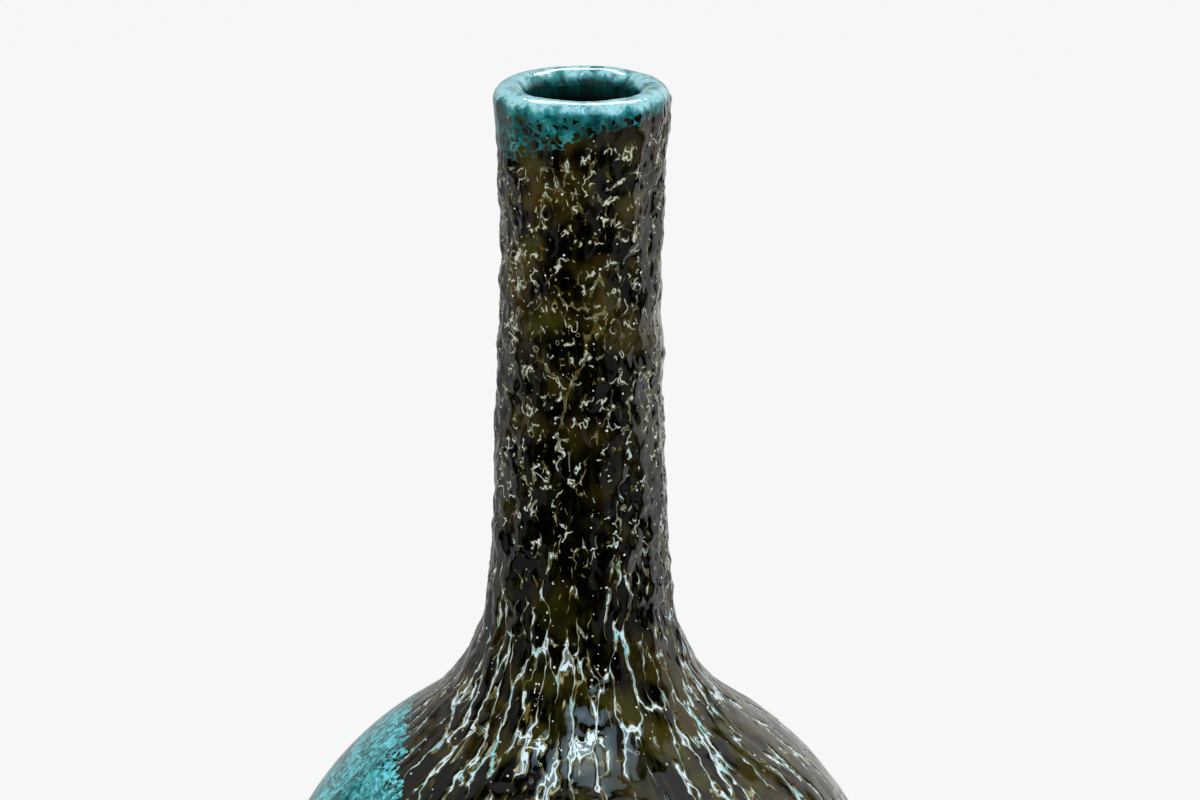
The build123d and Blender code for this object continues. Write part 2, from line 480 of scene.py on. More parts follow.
def fleckField(tree, place, high):
    sizes = fleckSizes
    drawn = vectorCalc(tree, "MULTIPLY", place, sizes["stretch"])
    winding = centred(tree, noise(tree, drawn, 1 / sizes["span"], 1.0, 0.4))
    fleck = minus(tree, sizes["half"], calc(tree, "ABSOLUTE", winding))
    patchy = noise(tree, place, 1 / sizes["gapSpan"], 1.0)
    few = ramp(tree, high, *sizes["fewZone"], *sizes["few"])
    fleck = minus(tree, fleck, ramp(tree, patchy, sizes["gap"], few, sizes["drop"], 0.0))
    return minus(tree, fleck, ramp(tree, high, *sizes["fadeZone"], sizes["drop"], 0.0))


# the turquoise ends in a net of strands round dark holes
netSizes = {
    "holeSpan": 0.0027,
    "curlScale": 420.0,
    "curl": 0.0030,
    "ragScale": 520.0,
    "rag": 0.36,
    "toRight": (-0.010, 0.018),  # on the lip the net is narrower towards the right
    "lowZone": (0.20, 0.25, 1.0, 0.0),  # and still narrower on the globe
    "low": 2.2,
    "narrow": 1.9,
    "outerStrands": (-0.0020, 0.0010, -0.06, 0.14),  # width of the strands by depth
    "innerStrands": (0.0020, 0.0300, 0.0, 0.60),
    "crestDrop": (0.0050, 0.0020),
    "crestStrands": 0.25,
    "soft": 0.035,
    "cover": (-0.0050, 0.0),  # under the lip, veins and flecks end this near to the turquoise
    "coverZone": (0.25, 0.29, 0.0, 0.2),
}


def turquoiseNet(tree, place, high, depth):
    sizes = netSizes
    low = times(tree, ramp(tree, high, *sizes["lowZone"]), sizes["low"])
    steep = larger(tree, ramp(tree, along(tree, place, rightward), *sizes["toRight"]), low)
    netDepth = times(tree, depth, timesPlus(tree, steep, sizes["narrow"], 1.0))
    curled = shifted(tree, place, drift(tree, place, sizes["curlScale"], 1.0), sizes["curl"])
    net = cells(tree, curled, 1 / sizes["holeSpan"], "DISTANCE_TO_EDGE")["Distance"]
    ragged = centred(tree, noise(tree, place, sizes["ragScale"], 1.0))
    net = larger(tree, timesPlus(tree, ragged, sizes["rag"], net), 0.0)
    outer = ramp(tree, netDepth, *sizes["outerStrands"], smooth=False)
    strand = plus(tree, outer, ramp(tree, netDepth, *sizes["innerStrands"]))
    crest = [lipTop - drop for drop in sizes["crestDrop"]]
    strand = plus(tree, strand, ramp(tree, high, *crest, 0.0, sizes["crestStrands"]))
    return ramp(tree, minus(tree, strand, net), -sizes["soft"], sizes["soft"])


# soft lumps, small beads and a few round bubbles
lumpSizes = {
    "lumpSpan": 0.0095,
    "beadSpan": 0.0034,
    "bubbleSpan": 0.0058,
    "bubbleStray": (700.0, 0.0009),
    "bubbleGrowth": 0.10,
    "bubbleLeast": 0.08,
    "bubbleFew": (0.72, 0.76),
    "innerLip": 0.0188,  # within this radius the lip turns into the mouth
    "mouthZone": (0.30, 0.32),
}


def glazeFields(tree, flow, place):
    sizes = lumpSizes
    high = along(tree, place, upward)
    depth = turquoiseDepth(tree, place)
    opened = larger(tree, veinField(tree, flow, place, high), fleckField(tree, place, high))
    cover = ramp(tree, depth, *netSizes["cover"])
    covered = times(tree, cover, ramp(tree, high, *netSizes["coverZone"]))
    across = vectorCalc(tree, "LENGTH", vectorCalc(tree, "MULTIPLY", place, (1.0, 1.0, 0.0)))
    inside = ramp(tree, across, vaseForm["boreRadius"], sizes["innerLip"], 1.0, 0.0)
    bubbles = cells(tree, strayed(tree, place, *sizes["bubbleStray"]), 1 / sizes["bubbleSpan"])
    chance = chances(tree, bubbles)
    bubbleSize = timesPlus(tree, chance[1], sizes["bubbleGrowth"], sizes["bubbleLeast"])
    return {
        "high": high,
        "depth": depth,
        "open": minus(tree, opened, covered),
        "turquoise": turquoiseNet(tree, place, high, depth),
        "lumps": centred(tree, noise(tree, place, 1 / sizes["lumpSpan"], 1.0, 0.4)),
        "beads": centred(tree, noise(tree, place, 1 / sizes["beadSpan"], 1.0, 0.4)),
        "inward": times(tree, inside, ramp(tree, high, *sizes["mouthZone"])),
        "bubble": calc(tree, "DIVIDE", bubbles["Distance"], bubbleSize),
        "bubbled": ramp(tree, chance[0], *sizes["bubbleFew"]),
    }


# relief of the coat, in metres
reliefSizes = {
    "lumps": 0.0036,
    "lumpZone": (0.15, 0.21, 0.22, 1.0),
    "beads": 0.0012,
    "beadZone": (0.17, 0.21, 0.12, 1.0),
    "calm": (-0.004, 0.006, 1.0, 0.15),  # the turquoise lies smoother
    "veins": 0.00035,
    "veinEdge": (-0.030, 0.010),
    "blisters": 0.00020,
    "blisterEdge": (0.5, 1.3, 1.0, 0.0),
    "deepest": 0.00070,  # less than the coat's thickness
    "edgeWaver": 0.0050,  # of the edge above the foot
    "waverScale": 45.0,
    "waverReach": 0.022,
    "edgeRoll": 0.0006,  # the glaze is thicker along it
    "rollReach": 0.007,
}


def reliefTree():
    sizes = reliefSizes
    tree = bpy.data.node_groups.new("glazeRelief", "GeometryNodeTree")
    tree.interface.new_socket("Geometry", in_out="INPUT", socket_type="NodeSocketGeometry")
    tree.interface.new_socket("Geometry", in_out="OUTPUT", socket_type="NodeSocketGeometry")
    start = put(tree, "NodeGroupInput")
    finish = put(tree, "NodeGroupOutput")

    def stored(name):
        kind = "GeometryNodeInputNamedAttribute"
        return put(tree, kind, {"Name": name}, data_type="FLOAT_VECTOR").outputs[0]

    def store(geometry, name, value, kind):
        inputs = {"Geometry": geometry, "Name": name, "Value": value}
        made = put(tree, "GeometryNodeStoreNamedAttribute", inputs, data_type=kind, domain="POINT")
        return made.outputs[0]

    flow = stored("flow")
    outward = stored("outward")
    place = put(tree, "GeometryNodeInputPosition").outputs[0]
    fields = glazeFields(tree, flow, place)
    high = fields["high"]
    calm = ramp(tree, fields["depth"], *sizes["calm"])
    lumps = times(tree, times(tree, fields["lumps"], calm), ramp(tree, high, *sizes["lumpZone"]))
    height = times(tree, lumps, sizes["lumps"])
    beads = times(tree, times(tree, fields["beads"], calm), sizes["beads"])
    height = timesPlus(tree, beads, ramp(tree, high, *sizes["beadZone"]), height)
    dark = minus(tree, 1.0, fields["turquoise"])
    vein = times(tree, ramp(tree, fields["open"], *sizes["veinEdge"]), dark)
    height = minus(tree, height, times(tree, vein, sizes["veins"]))
    blister = times(tree, ramp(tree, fields["bubble"], *sizes["blisterEdge"]), fields["bubbled"])
    height = timesPlus(tree, times(tree, blister, dark), sizes["blisters"], height)
    # the edge above the foot wavers, and the glaze gathers along it
    nearEdge = ramp(tree, high, coatFoot, coatFoot + sizes["waverReach"], 1.0, 0.0)
    sway = times(tree, centred(tree, noise(tree, place, sizes["waverScale"])), nearEdge)
    sway = times(tree, sway, sizes["edgeWaver"])
    tipped = put(tree, "ShaderNodeSeparateXYZ", {"Vector": outward}).outputs[2]
    down = vectorCalc(tree, "SUBTRACT", vectorCalc(tree, "SCALE", outward, scale=tipped), upward)
    rest = shifted(tree, place, down, sway)
    roll = ramp(tree, high, coatFoot, coatFoot + sizes["rollReach"], sizes["edgeRoll"], 0.0)
    height = larger(tree, plus(tree, height, roll), -sizes["deepest"])
    kept = store(start.outputs[0], "rest", rest, "FLOAT_VECTOR")
    kept = store(kept, "turquoiseDepth", fields["depth"], "FLOAT")
    raised = {"Geometry": kept, "Position": shifted(tree, rest, outward, height)}
    moved = put(tree, "GeometryNodeSetPosition", raised)
    tree.links.new(moved.outputs[0], finish.inputs[0])
    return tree


def pick(piece):
    bpy.ops.object.select_all(action="DESELECT")
    piece.select_set(True)
    bpy.context.view_layer.objects.active = piece


def applyRelief(piece, tree):
    pick(piece)
    relief = piece.modifiers.new("relief", "NODES")
    relief.node_group = tree
    bpy.ops.object.modifier_apply(modifier="relief")


# each coat is a closed shell that lies on the clay
shellSizes = {
    "depth": 0.00095,  # from the smooth outside in to the clay
    "innerShare": 0.08,  # of the faces of the unseen inner wall that are kept
    "innerFacing": -0.5,  # a face belongs to that wall if it faces the clay this much
    "edgeRound": 0.00035,
    "edgeSegments": 3,
    "edgeRun": 1e-4,  # the last row of the flow, within this
    "sharpAngle": 65.0,
}


def readCorners(mesh):
    # of each face, where its corners start and how many they are; and the point at each corner
    starts = readNumbers(mesh.polygons, "loop_start", kind=np.int32)
    sizes = readNumbers(mesh.polygons, "loop_total", kind=np.int32)
    return starts, sizes, readNumbers(mesh.loops, "vertex_index", kind=np.int32)


def faceMeans(piece, values):
    starts, sizes, corners = readCorners(piece.data)
    sums = np.add.reduceat(values[corners], starts, axis=0)
    return sums / (sizes if values.ndim == 1 else sizes[:, None])


def editPart(piece, kind, chosen):
    # opens edit mode with the chosen faces or edges selected
    pick(piece)
    setMode("EDIT")
    bpy.ops.mesh.select_mode(type=kind)
    bpy.ops.mesh.select_all(action="DESELECT")
    setMode("OBJECT")
    parts = piece.data.polygons if kind == "FACE" else piece.data.edges
    parts.foreach_set("select", np.ascontiguousarray(chosen, bool))
    setMode("EDIT")


def clearPinches(piece, chosen):
    # where the chosen faces meet only at a corner, all faces round it are taken
    mesh = piece.data
    starts, sizes, corners = readCorners(mesh)
    sides = readNumbers(mesh.loops, "edge_index", kind=np.int32)
    ends = readNumbers(mesh.edges, "vertices", 2, np.int32)
    shared = np.bincount(sides, minlength=len(mesh.edges)) == 2
    pinched = True
    while pinched:
        taken = np.bincount(sides, weights=np.repeat(chosen, sizes), minlength=len(mesh.edges))
        border = ends[(taken == 1) & shared]
        crossed = np.bincount(border.ravel(), minlength=len(mesh.vertices)) > 2
        pinched = crossed.any()
        chosen = chosen | np.logical_or.reduceat(crossed[corners], starts)
    return chosen


def takeFaces(piece, name, chosen):
    editPart(piece, "FACE", clearPinches(piece, chosen))
    bpy.ops.mesh.separate(type="SELECTED")
    setMode("OBJECT")
    taken = next(other for other in bpy.context.selected_objects if other is not piece)
    taken.name = name
    return taken


def closeShell(piece, footRun):
    pick(piece)
    outerCount = len(piece.data.vertices)
    wall = piece.modifiers.new("wall", "SOLIDIFY")
    wall.thickness = shellSizes["depth"]
    wall.offset = -1.0
    bpy.ops.object.modifier_apply(modifier="wall")
    places = readPoints(piece)
    inner = np.arange(len(places)) >= outerCount
    laid = readVectors(piece, "rest") - readVectors(piece, "outward") * shellSizes["depth"]
    places[inner] = laid[inner]
    piece.data.vertices.foreach_set("co", places.astype(np.float32).ravel())
    piece.data.update()
    # round the edge above the foot
    ends = readNumbers(piece.data.edges, "vertices", 2, np.int32)
    last = (readVectors(piece, "flow")[:, 2] > footRun - shellSizes["edgeRun"]) & ~inner
    edge = last[ends].all(axis=1)
    if edge.any():
        editPart(piece, "EDGE", edge)
        rounding = {"offset": shellSizes["edgeRound"], "segments": shellSizes["edgeSegments"]}
        bpy.ops.mesh.bevel(affect="EDGES", **rounding)
        setMode("OBJECT")
    # the inner wall needs few faces
    outward = faceMeans(piece, readVectors(piece, "outward"))
    facing = (readNumbers(piece.data.polygons, "normal", 3) * outward).sum(axis=1)
    editPart(piece, "FACE", facing < shellSizes["innerFacing"])
    bpy.ops.mesh.decimate(ratio=shellSizes["innerShare"])
    bpy.ops.mesh.select_all(action="DESELECT")
    setMode("OBJECT")
    bpy.ops.object.shade_smooth_by_angle(angle=math.radians(shellSizes["sharpAngle"]))
    triangles = sum(len(face.vertices) - 2 for face in piece.data.polygons)
    print("shell closed:", piece.name, triangles, "triangles")


# colours, as linear values
glazeColours = {
    "black": (0.0007, 0.0007, 0.0005, 1.0),
    "olive": (0.056, 0.049, 0.006, 1.0),
    "rust": (0.062, 0.039, 0.006, 1.0),
    "amber": (0.20, 0.132, 0.022, 1.0),
    "cream": (0.58, 0.50, 0.27, 1.0),
    "white": (0.96, 1.0, 0.98, 1.0),
    "aqua": (0.22, 0.70, 0.69, 1.0),
    "deepTeal": (0.003, 0.040, 0.038, 1.0),
    "teal": (0.008, 0.118, 0.116, 1.0),
    "clearTeal": (0.033, 0.29, 0.28, 1.0),
    "paleTeal": (0.43, 0.77, 0.77, 1.0),
    "fieldPale": (0.20, 0.80, 0.86, 1.0),
    # near black, the painted shade deep in the bore
    "paintedBoreShade": (0.006, 0.005, 0.002, 1.0),
    "seaGreen": (0.040, 0.075, 0.050, 1.0),
}

# dark glaze: zones are heights and the shares there, two shares are for the globe and for the neck,
# and the other pairs are ranges
darkLook = {
    "neckZone": (0.215, 0.265),
    "rimWidth": (1.0, 0.66),  # on the globe and on the neck, where less is wider
    "finerCore": 0.005,
    "blotchScale": 85.0,
    "blotch": (0.48, 0.74),
    "thinRight": (-0.005, 0.030),  # the glaze is thinner at the right of the shoulder
    "thinRightZone": (0.17, 0.21, 0.09, 0.0),
    "thinTopZone": (0.25, 0.30, 0.0, 0.03),
    "clearTopZone": (0.24, 0.31, 0.40, 1.0),
    "clearLowZone": (0.17, 0.21, 0.95, 0.0),
    "warmScale": 60.0,
    "warm": (0.36, 0.54),
    "streakStretch": (2.6, 2.6, 0.5),
    "streak": (0.52, 0.68),
    "streakZone": (0.165, 0.215, 0.42, 0.12),
    "glow": (-0.038, -0.006),  # by how far a vein is open, as rims, green and cores
    "glowShare": 0.45,
    "rimOuter": (-0.026, -0.015),
    "rimInner": (-0.012, -0.006, 1.0, 0.25),
    "rimShare": (0.90, 0.50),
    "rimScale": 240.0,
    "rimCream": (0.44, 0.66),
    "green": (-0.010, -0.004),
    "greenShare": (0.60, 0.25),
    "core": (-0.002, 0.005),
    "coreHollow": (0.034, 0.048, 1.0, 0.12),
    "tintScale": 120.0,
    "tint": (0.50, 0.66, 0.0, 0.80),
    "tintEdge": (0.002, 0.013, 0.75, 0.0),
    "tintShare": (1.0, 0.50),
    "creamZone": (0.20, 0.29, 0.0, 0.58),
    # the specks are partly pale dots in the glaze and partly painted glints
    "speckSpan": 0.0021,
    "speckStray": (900.0, 0.0006),
    "speckGrowth": 0.12,
    "speckLeast": 0.05,
    "speckSoft": 0.03,
    "speckRareZone": (0.20, 0.30, 0.60, 0.50),
    "speckStep": 0.04,
    "speckWhite": (0.45, 0.55),
    "bead": (0.75, 1.05, 0.95, 0.0),  # in radii of a bubble, as the next two
    "ringInner": (0.75, 1.0),
    "ringOuter": (1.0, 1.25, 1.0, 0.0),
    "ringHighlightShare": 0.45,
}


def darkColour(tree, flow, place, fields):
    look = darkLook
    high = fields["high"]
    opened = fields["open"]
    onNeck = ramp(tree, high, *look["neckZone"])
    # amber and olive depths, clearer where the glaze is thin
    thinner = ramp(tree, along(tree, place, rightward), *look["thinRight"])
    thinner = times(tree, thinner, ramp(tree, high, *look["thinRightZone"]))
    thinner = plus(tree, thinner, ramp(tree, high, *look["thinTopZone"]))
    blotch = plus(tree, noise(tree, place, look["blotchScale"]), thinner)
    clear = larger(tree, ramp(tree, high, *look["clearTopZone"]), ramp(tree, high, *look["clearLowZone"]))
    blotch = times(tree, ramp(tree, blotch, *look["blotch"]), clear)
    warm = ramp(tree, noise(tree, place, look["warmScale"]), *look["warm"])
    dark = mixColour(tree, blotch, "black", mixColour(tree, warm, "olive", "rust"))
    streak = noise(tree, vectorCalc(tree, "MULTIPLY", flow, look["streakStretch"]), 1.0)
    streak = times(tree, ramp(tree, streak, *look["streak"]), ramp(tree, high, *look["streakZone"]))
    dark = mixColour(tree, streak, dark, "olive")
    # glow and rim of the veins; on the neck the rims are wider and fainter, and the cores finer
    rimmed = times(tree, opened, blend(tree, onNeck, look["rimWidth"], smooth=False))
    glow = times(tree, ramp(tree, rimmed, *look["glow"]), look["glowShare"])
    dark = mixColour(tree, glow, dark, "olive")
    creamy = ramp(tree, noise(tree, place, look["rimScale"], 1.0), *look["rimCream"])
    rim = times(tree, ramp(tree, rimmed, *look["rimOuter"]), ramp(tree, rimmed, *look["rimInner"]))
    rim = times(tree, rim, blend(tree, onNeck, look["rimShare"]))
    dark = mixColour(tree, rim, dark, mixColour(tree, creamy, "amber", "cream"))
    green = times(tree, ramp(tree, opened, *look["green"]), blend(tree, onNeck, look["greenShare"]))
    dark = mixColour(tree, green, dark, "seaGreen")
    # white cores with aqua in patches and along their edges
    cored = timesPlus(tree, onNeck, -look["finerCore"], opened)
    core = times(tree, ramp(tree, cored, *look["core"]), ramp(tree, opened, *look["coreHollow"]))
    tint = ramp(tree, noise(tree, place, look["tintScale"], 1.0), *look["tint"])
    tint = larger(tree, tint, ramp(tree, cored, *look["tintEdge"]))
    tint = times(tree, tint, blend(tree, onNeck, look["tintShare"]))
    coreHue = mixColour(tree, tint, "white", "aqua")
    coreHue = mixColour(tree, ramp(tree, high, *look["creamZone"]), coreHue, "cream")
    dark = mixColour(tree, core, dark, coreHue)
    # pale specks, partly pale dots in the glaze and partly painted glints; and dark beads with pale
    # rings, the rings a painted highlight
    specks = cells(tree, strayed(tree, place, *look["speckStray"]), 1 / look["speckSpan"])
    chance = chances(tree, specks)
    speckSize = timesPlus(tree, chance[1], look["speckGrowth"], look["speckLeast"])
    past = minus(tree, specks["Distance"], speckSize)
    speck = ramp(tree, past, -look["speckSoft"], look["speckSoft"], 1.0, 0.0)
    lucky = minus(tree, chance[0], ramp(tree, high, *look["speckRareZone"]))
    speck = times(tree, speck, ramp(tree, lucky, 0.0, look["speckStep"]))
    whiter = ramp(tree, chance[2], *look["speckWhite"])
    dark = mixColour(tree, speck, dark, mixColour(tree, whiter, "cream", "white"))
    bubble = fields["bubble"]
    bead = times(tree, ramp(tree, bubble, *look["bead"]), fields["bubbled"])
    dark = mixColour(tree, bead, dark, "black")
    # the pale ring round each bead is a painted highlight of its rim
    ring = times(tree, ramp(tree, bubble, *look["ringInner"]), ramp(tree, bubble, *look["ringOuter"]))
    ring = times(tree, times(tree, ring, fields["bubbled"]), look["ringHighlightShare"])
    return mixColour(tree, ring, dark, "cream"), core


# turquoise glaze: what adds to its grain, and the grain at which each colour begins and is full
turquoiseLook = {
    "lipZone": (0.24, 0.30),
    "middle": 0.72,
    "strokeStretch": (1.0, 1.0, 0.7),
    "strokeScale": 165.0,
    "strokeSwirl": 2.2,
    "strokes": 1.6,
    "paleLine": (130.0, 1.2, 0.50, 0.032),  # scale, swirl, middle and half width
    "paleLines": 0.36,
    "deepLine": (150.0, 1.6, 0.47, 0.036),
    "deepLines": -0.38,
    "cloudScale": 80.0,
    "clouds": 0.50,
    "lipScale": 230.0,
    "lipSwirl": 0.6,
    "lipGrain": 1.1,
    # the crest is painted paler, partly for the thinner glaze there and partly as a painted highlight of
    # the lamps above
    "crestDrop": (0.0042, 0.0010),  # below the top of the lip
    "crest": 0.35,
    "lip": -0.31,
    # darker inside the mouth: painted shade of the bore
    "inward": -0.14,
    "strandStray": (260.0, 0.0050, 2.0),
    "strandScale": 270.0,
    "strandEdge": (0.02, 0.16, 1.0, 0.0),
    "strandZone": (0.20, 0.30, 1.0, 0.15),
    "strands": -0.12,
    "least": (0.36, 0.0),  # on the globe and on the lip
    "teal": (0.26, 0.44),
    "clearTeal": (0.40, 0.56),
    "paleFrom": 0.56,
    "paleTo": (1.05, 0.76),  # on the globe and on the lip
    "stainScale": 430.0,
    "stain": (0.52, 0.64),
    "stains": 0.40,
    "stainInward": 0.05,
}


def grainLine(tree, place, scale, swirl, middle, half):
    waves = noise(tree, place, scale, 1.0, swirl=swirl)
    away = calc(tree, "ABSOLUTE", minus(tree, waves, middle))
    return ramp(tree, away, 0.0, half, 1.0, 0.0)


def turquoiseColour(tree, place, fields, onLip):
    look = turquoiseLook
    high = fields["high"]
    drawn = vectorCalc(tree, "MULTIPLY", place, look["strokeStretch"])
    strokes = noise(tree, drawn, look["strokeScale"], 3.0, swirl=look["strokeSwirl"])
    grain = times(tree, centred(tree, strokes), look["strokes"])
    grain = timesPlus(tree, grainLine(tree, place, *look["paleLine"]), look["paleLines"], grain)
    cloud = centred(tree, noise(tree, place, look["cloudScale"]))
    grain = timesPlus(tree, cloud, look["clouds"], grain)
    grain = timesPlus(tree, grainLine(tree, place, *look["deepLine"]), look["deepLines"], grain)
    lipGrain = centred(tree, noise(tree, place, look["lipScale"], 4.0, 0.6, swirl=look["lipSwirl"]))
    lipGrain = times(tree, lipGrain, look["lipGrain"])
    grain = plus(tree, grain, times(tree, onLip, minus(tree, lipGrain, grain)))
    grain = plus(tree, grain, look["middle"])
    # paler along the crest of the lip, partly where the glaze runs thin and partly as a painted
    # highlight; darker inside the mouth as painted shade; deeper along the strands
    crest = ramp(tree, high, *(lipTop - drop for drop in look["crestDrop"]))
    strandPlace = strayed(tree, place, *look["strandStray"])
    strand = cells(tree, strandPlace, look["strandScale"], "DISTANCE_TO_EDGE")["Distance"]
    strand = ramp(tree, strand, *look["strandEdge"])
    strand = times(tree, strand, ramp(tree, high, *look["strandZone"]))
    inward = fields["inward"]
    for part, name in ((crest, "crest"), (onLip, "lip"), (inward, "inward"), (strand, "strands")):
        grain = timesPlus(tree, part, look[name], grain)
    grain = larger(tree, grain, blend(tree, onLip, look["least"]))
    hue = mixColour(tree, ramp(tree, grain, *look["teal"]), "deepTeal", "teal")
    hue = mixColour(tree, ramp(tree, grain, *look["clearTeal"]), hue, "clearTeal")
    paleHue = mixColour(tree, onLip, "fieldPale", "paleTeal")
    palest = blend(tree, onLip, look["paleTo"])
    hue = mixColour(tree, ramp(tree, grain, look["paleFrom"], palest), hue, paleHue)
    # olive stains where the dark glaze shows through on the lip
    stain = ramp(tree, noise(tree, place, look["stainScale"], 3.0, 0.6), *look["stain"])
    stain = times(tree, stain, timesPlus(tree, inward, look["stainInward"], look["stains"]))
    return mixColour(tree, times(tree, stain, onLip), hue, "olive")


# gloss and fine bumps of both glazes
glossLook = {
    "ior": 1.52,
    "rough": 0.04,
    "coreRough": 0.06,
    "inwardRough": 0.22,
    "blister": (0.1, 1.1, 1.0, 0.0),
    "blisters": 1.4,
    "rippleScale": 300.0,
    "ripples": (0.35, 0.20),  # on the globe and on the lip
    "bump": 0.5,
    "bumpReach": 0.0003,
}


def glazeMaterial(name):
    look = glossLook
    material, tree = newMaterial(name)
    flow = put(tree, "ShaderNodeAttribute", attribute_name="flow").outputs["Vector"]
    place = put(tree, "ShaderNodeAttribute", attribute_name="rest").outputs["Vector"]
    fields = glazeFields(tree, flow, place)
    onLip = ramp(tree, fields["high"], *turquoiseLook["lipZone"])
    dark, core = darkColour(tree, flow, place, fields)
    turquoise = turquoiseColour(tree, place, fields, onLip)
    colour = mixColour(tree, fields["turquoise"], dark, turquoise)
    rough = timesPlus(tree, core, look["coreRough"], look["rough"])
    rough = timesPlus(tree, fields["inward"], look["inwardRough"], rough)
    # veins are sunk, blisters and ripples stand out
    sunk = times(tree, core, minus(tree, 1.0, fields["turquoise"]))
    blister = times(tree, ramp(tree, fields["bubble"], *look["blister"]), fields["bubbled"])
    sunk = timesPlus(tree, blister, -look["blisters"], sunk)
    ripple = noise(tree, place, look["rippleScale"], 1.0, 0.4)
    ripple = times(tree, ripple, blend(tree, onLip, look["ripples"]))
    showFinish(tree, look, colour, rough, timesPlus(tree, sunk, -1.0, ripple))
    return material


# glaze poured inside, darkening below the mouth to near black as painted shade of the bore
linerLook = {
    "streakScale": 330.0,
    "streakStretch": (1.0, 1.0, 0.25),
    "teal": (0.36, 0.60),
    "clearTeal": (0.60, 0.74),
    "boreShadeDrop": (0.0085, 0.0040),  # below the top of the lip
    "deep": (0.98, 0.35),
    "rough": 0.12,
    "bump": 0.4,
    "bumpReach": 0.0004,
    "ior": 1.52,
}


def linerMaterial():
    look = linerLook
    material, tree = newMaterial("linerGlaze")
    place = put(tree, "ShaderNodeTexCoord").outputs["Object"]
    drawn = vectorCalc(tree, "MULTIPLY", place, look["streakStretch"])
    streak = noise(tree, drawn, look["streakScale"], 3.0, 0.6)
    colour = mixColour(tree, ramp(tree, streak, *look["teal"]), "deepTeal", "teal")
    colour = mixColour(tree, ramp(tree, streak, *look["clearTeal"]), colour, "clearTeal")
    # painted shade: the liner turns near black below the mouth
    depths = [lipTop - drop for drop in look["boreShadeDrop"]]
    deep = ramp(tree, along(tree, place, upward), *depths, *look["deep"])
    colour = mixColour(tree, deep, colour, "paintedBoreShade")
    showFinish(tree, look, colour, look["rough"], streak)
    return material


# bare fired clay of the foot and of the inside
clayLook = {
    "buff": (0.30, 0.17, 0.085, 1.0),
    "brown": (0.16, 0.082, 0.040, 1.0),
    "iron": (0.030, 0.018, 0.012, 1.0),
    "cloudScale": 60.0,
    "cloud": (0.35, 0.65),
    "speckScale": 520.0,
    "speckSize": (0.10, 0.20, 1.0, 0.0),
    "speckFew": (0.70, 0.75),
    "rough": 0.75,
    "gritScale": 900.0,
    "bump": 0.4,
    "bumpReach": 0.0004,
}


def clayMaterial():
    look = clayLook
    material, tree = newMaterial("firedClay")
    place = put(tree, "ShaderNodeTexCoord").outputs["Object"]
    cloud = noise(tree, place, look["cloudScale"], 4.0, 0.6)
    colour = mixColour(tree, ramp(tree, cloud, *look["cloud"]), look["brown"], look["buff"])
    specks = cells(tree, place, look["speckScale"])
    chosen = ramp(tree, chances(tree, specks)[0], *look["speckFew"])
    speck = times(tree, ramp(tree, specks["Distance"], *look["speckSize"]), chosen)
    colour = mixColour(tree, speck, colour, look["iron"])
    grit = noise(tree, place, look["gritScale"], 3.0, 0.6)
    showFinish(tree, look, colour, look["rough"], grit)
    return material


# studio: pale floor, white behind it, soft lamps
studio = {
    "white": 0.965,
    "ambient": 0.70,
    "floorReach": 4.0,
    "floorLevel": -0.0002,  # a hair below the foot
    "floorColour": (0.80, 0.80, 0.80, 1.0),
    "floorShown": 0.9,  # how much of the floor that the camera sees is plain white
    "shadowReach": 0.18,
    "shadowSamples": 4,
    "shadowLevels": (0.35, 1.0),
    "mirrorDark": 0.006,
    # pale panels that the glaze mirrors: heading of the middle, cosines of the soft edge, brightness
    "mirrors": {
        "right": ((0.94, 0.34), (0.91, 0.97), 0.80),
        "rightBack": ((0.44, 0.90), (0.95, 0.985), 0.80),
        "left": ((-0.88, 0.48), (0.93, 0.98), 0.38),
        "leftBack": ((-0.40, 0.92), (0.94, 0.98), 0.42),
        "back": ((0.0, 1.0), (0.75, 0.95), 0.34),
        "frontRight": ((0.80, -0.60), (0.93, 0.98), 0.22),
        "frontLeft": ((-0.94, -0.34), (0.95, 0.99), 0.20),
    },
    "softbox": {
        "place": (0.10, -0.60, 1.25),
        "aim": (0.0, -0.04, 0.17),
        "size": 0.95,
        "levels": (4.6, 1.6),  # at the middle and at the edge
        "edge": 0.62,  # of the size
        "tint": (0.57, 0.80, 1.0, 1.0),
    },
    "lamps": {
        "lipStrip": {
            "place": (0.03, 0.62, 1.25), "aim": (0.0, 0.0, 0.34),
            "size": (1.00, 0.34), "power": 12.5, "diffuse": False,
        },
        "glintLeft": {
            "place": (-0.75, -0.95, 0.95), "aim": (0.0, 0.0, 0.25),
            "size": (0.03, 0.03), "power": 0.12, "diffuse": True,
        },
        "glintRight": {
            "place": (0.60, -1.05, 0.85), "aim": (0.0, 0.0, 0.25),
            "size": (0.03, 0.03), "power": 0.12, "diffuse": True,
        },
    },
}


def mirrorLevel(tree, place):
    flat = vectorCalc(tree, "NORMALIZE", vectorCalc(tree, "MULTIPLY", place, (1.0, 1.0, 0.0)))
    level = studio["mirrorDark"]
    for middle, edge, brightness in studio["mirrors"].values():
        near = along(tree, flat, (*middle, 0.0))
        level = larger(tree, ramp(tree, near, *edge, 0.0, brightness), level)
    return level


def raysOf(tree):
    # rays that should find plain white, and rays that are mirrored in the glaze
    rays = put(tree, "ShaderNodeLightPath").outputs
    return larger(tree, rays["Is Camera Ray"], rays["Is Transmission Ray"]), rays["Is Glossy Ray"]


def makeWorld():
    world = bpy.data.worlds.new("studioWorld")
    bpy.context.scene.world = world
    world.use_nodes = True
    tree = world.node_tree
    tree.nodes.clear()
    seen, glossy = raysOf(tree)
    mirrored = mirrorLevel(tree, put(tree, "ShaderNodeTexCoord").outputs["Generated"])
    level = timesPlus(tree, glossy, minus(tree, mirrored, studio["ambient"]), studio["ambient"])
    level = timesPlus(tree, seen, minus(tree, studio["white"], level), level)
    sky = put(tree, "ShaderNodeBackground", {"Color": (1.0, 1.0, 1.0, 1.0), "Strength": level})
    showSurface(tree, sky, "ShaderNodeOutputWorld")


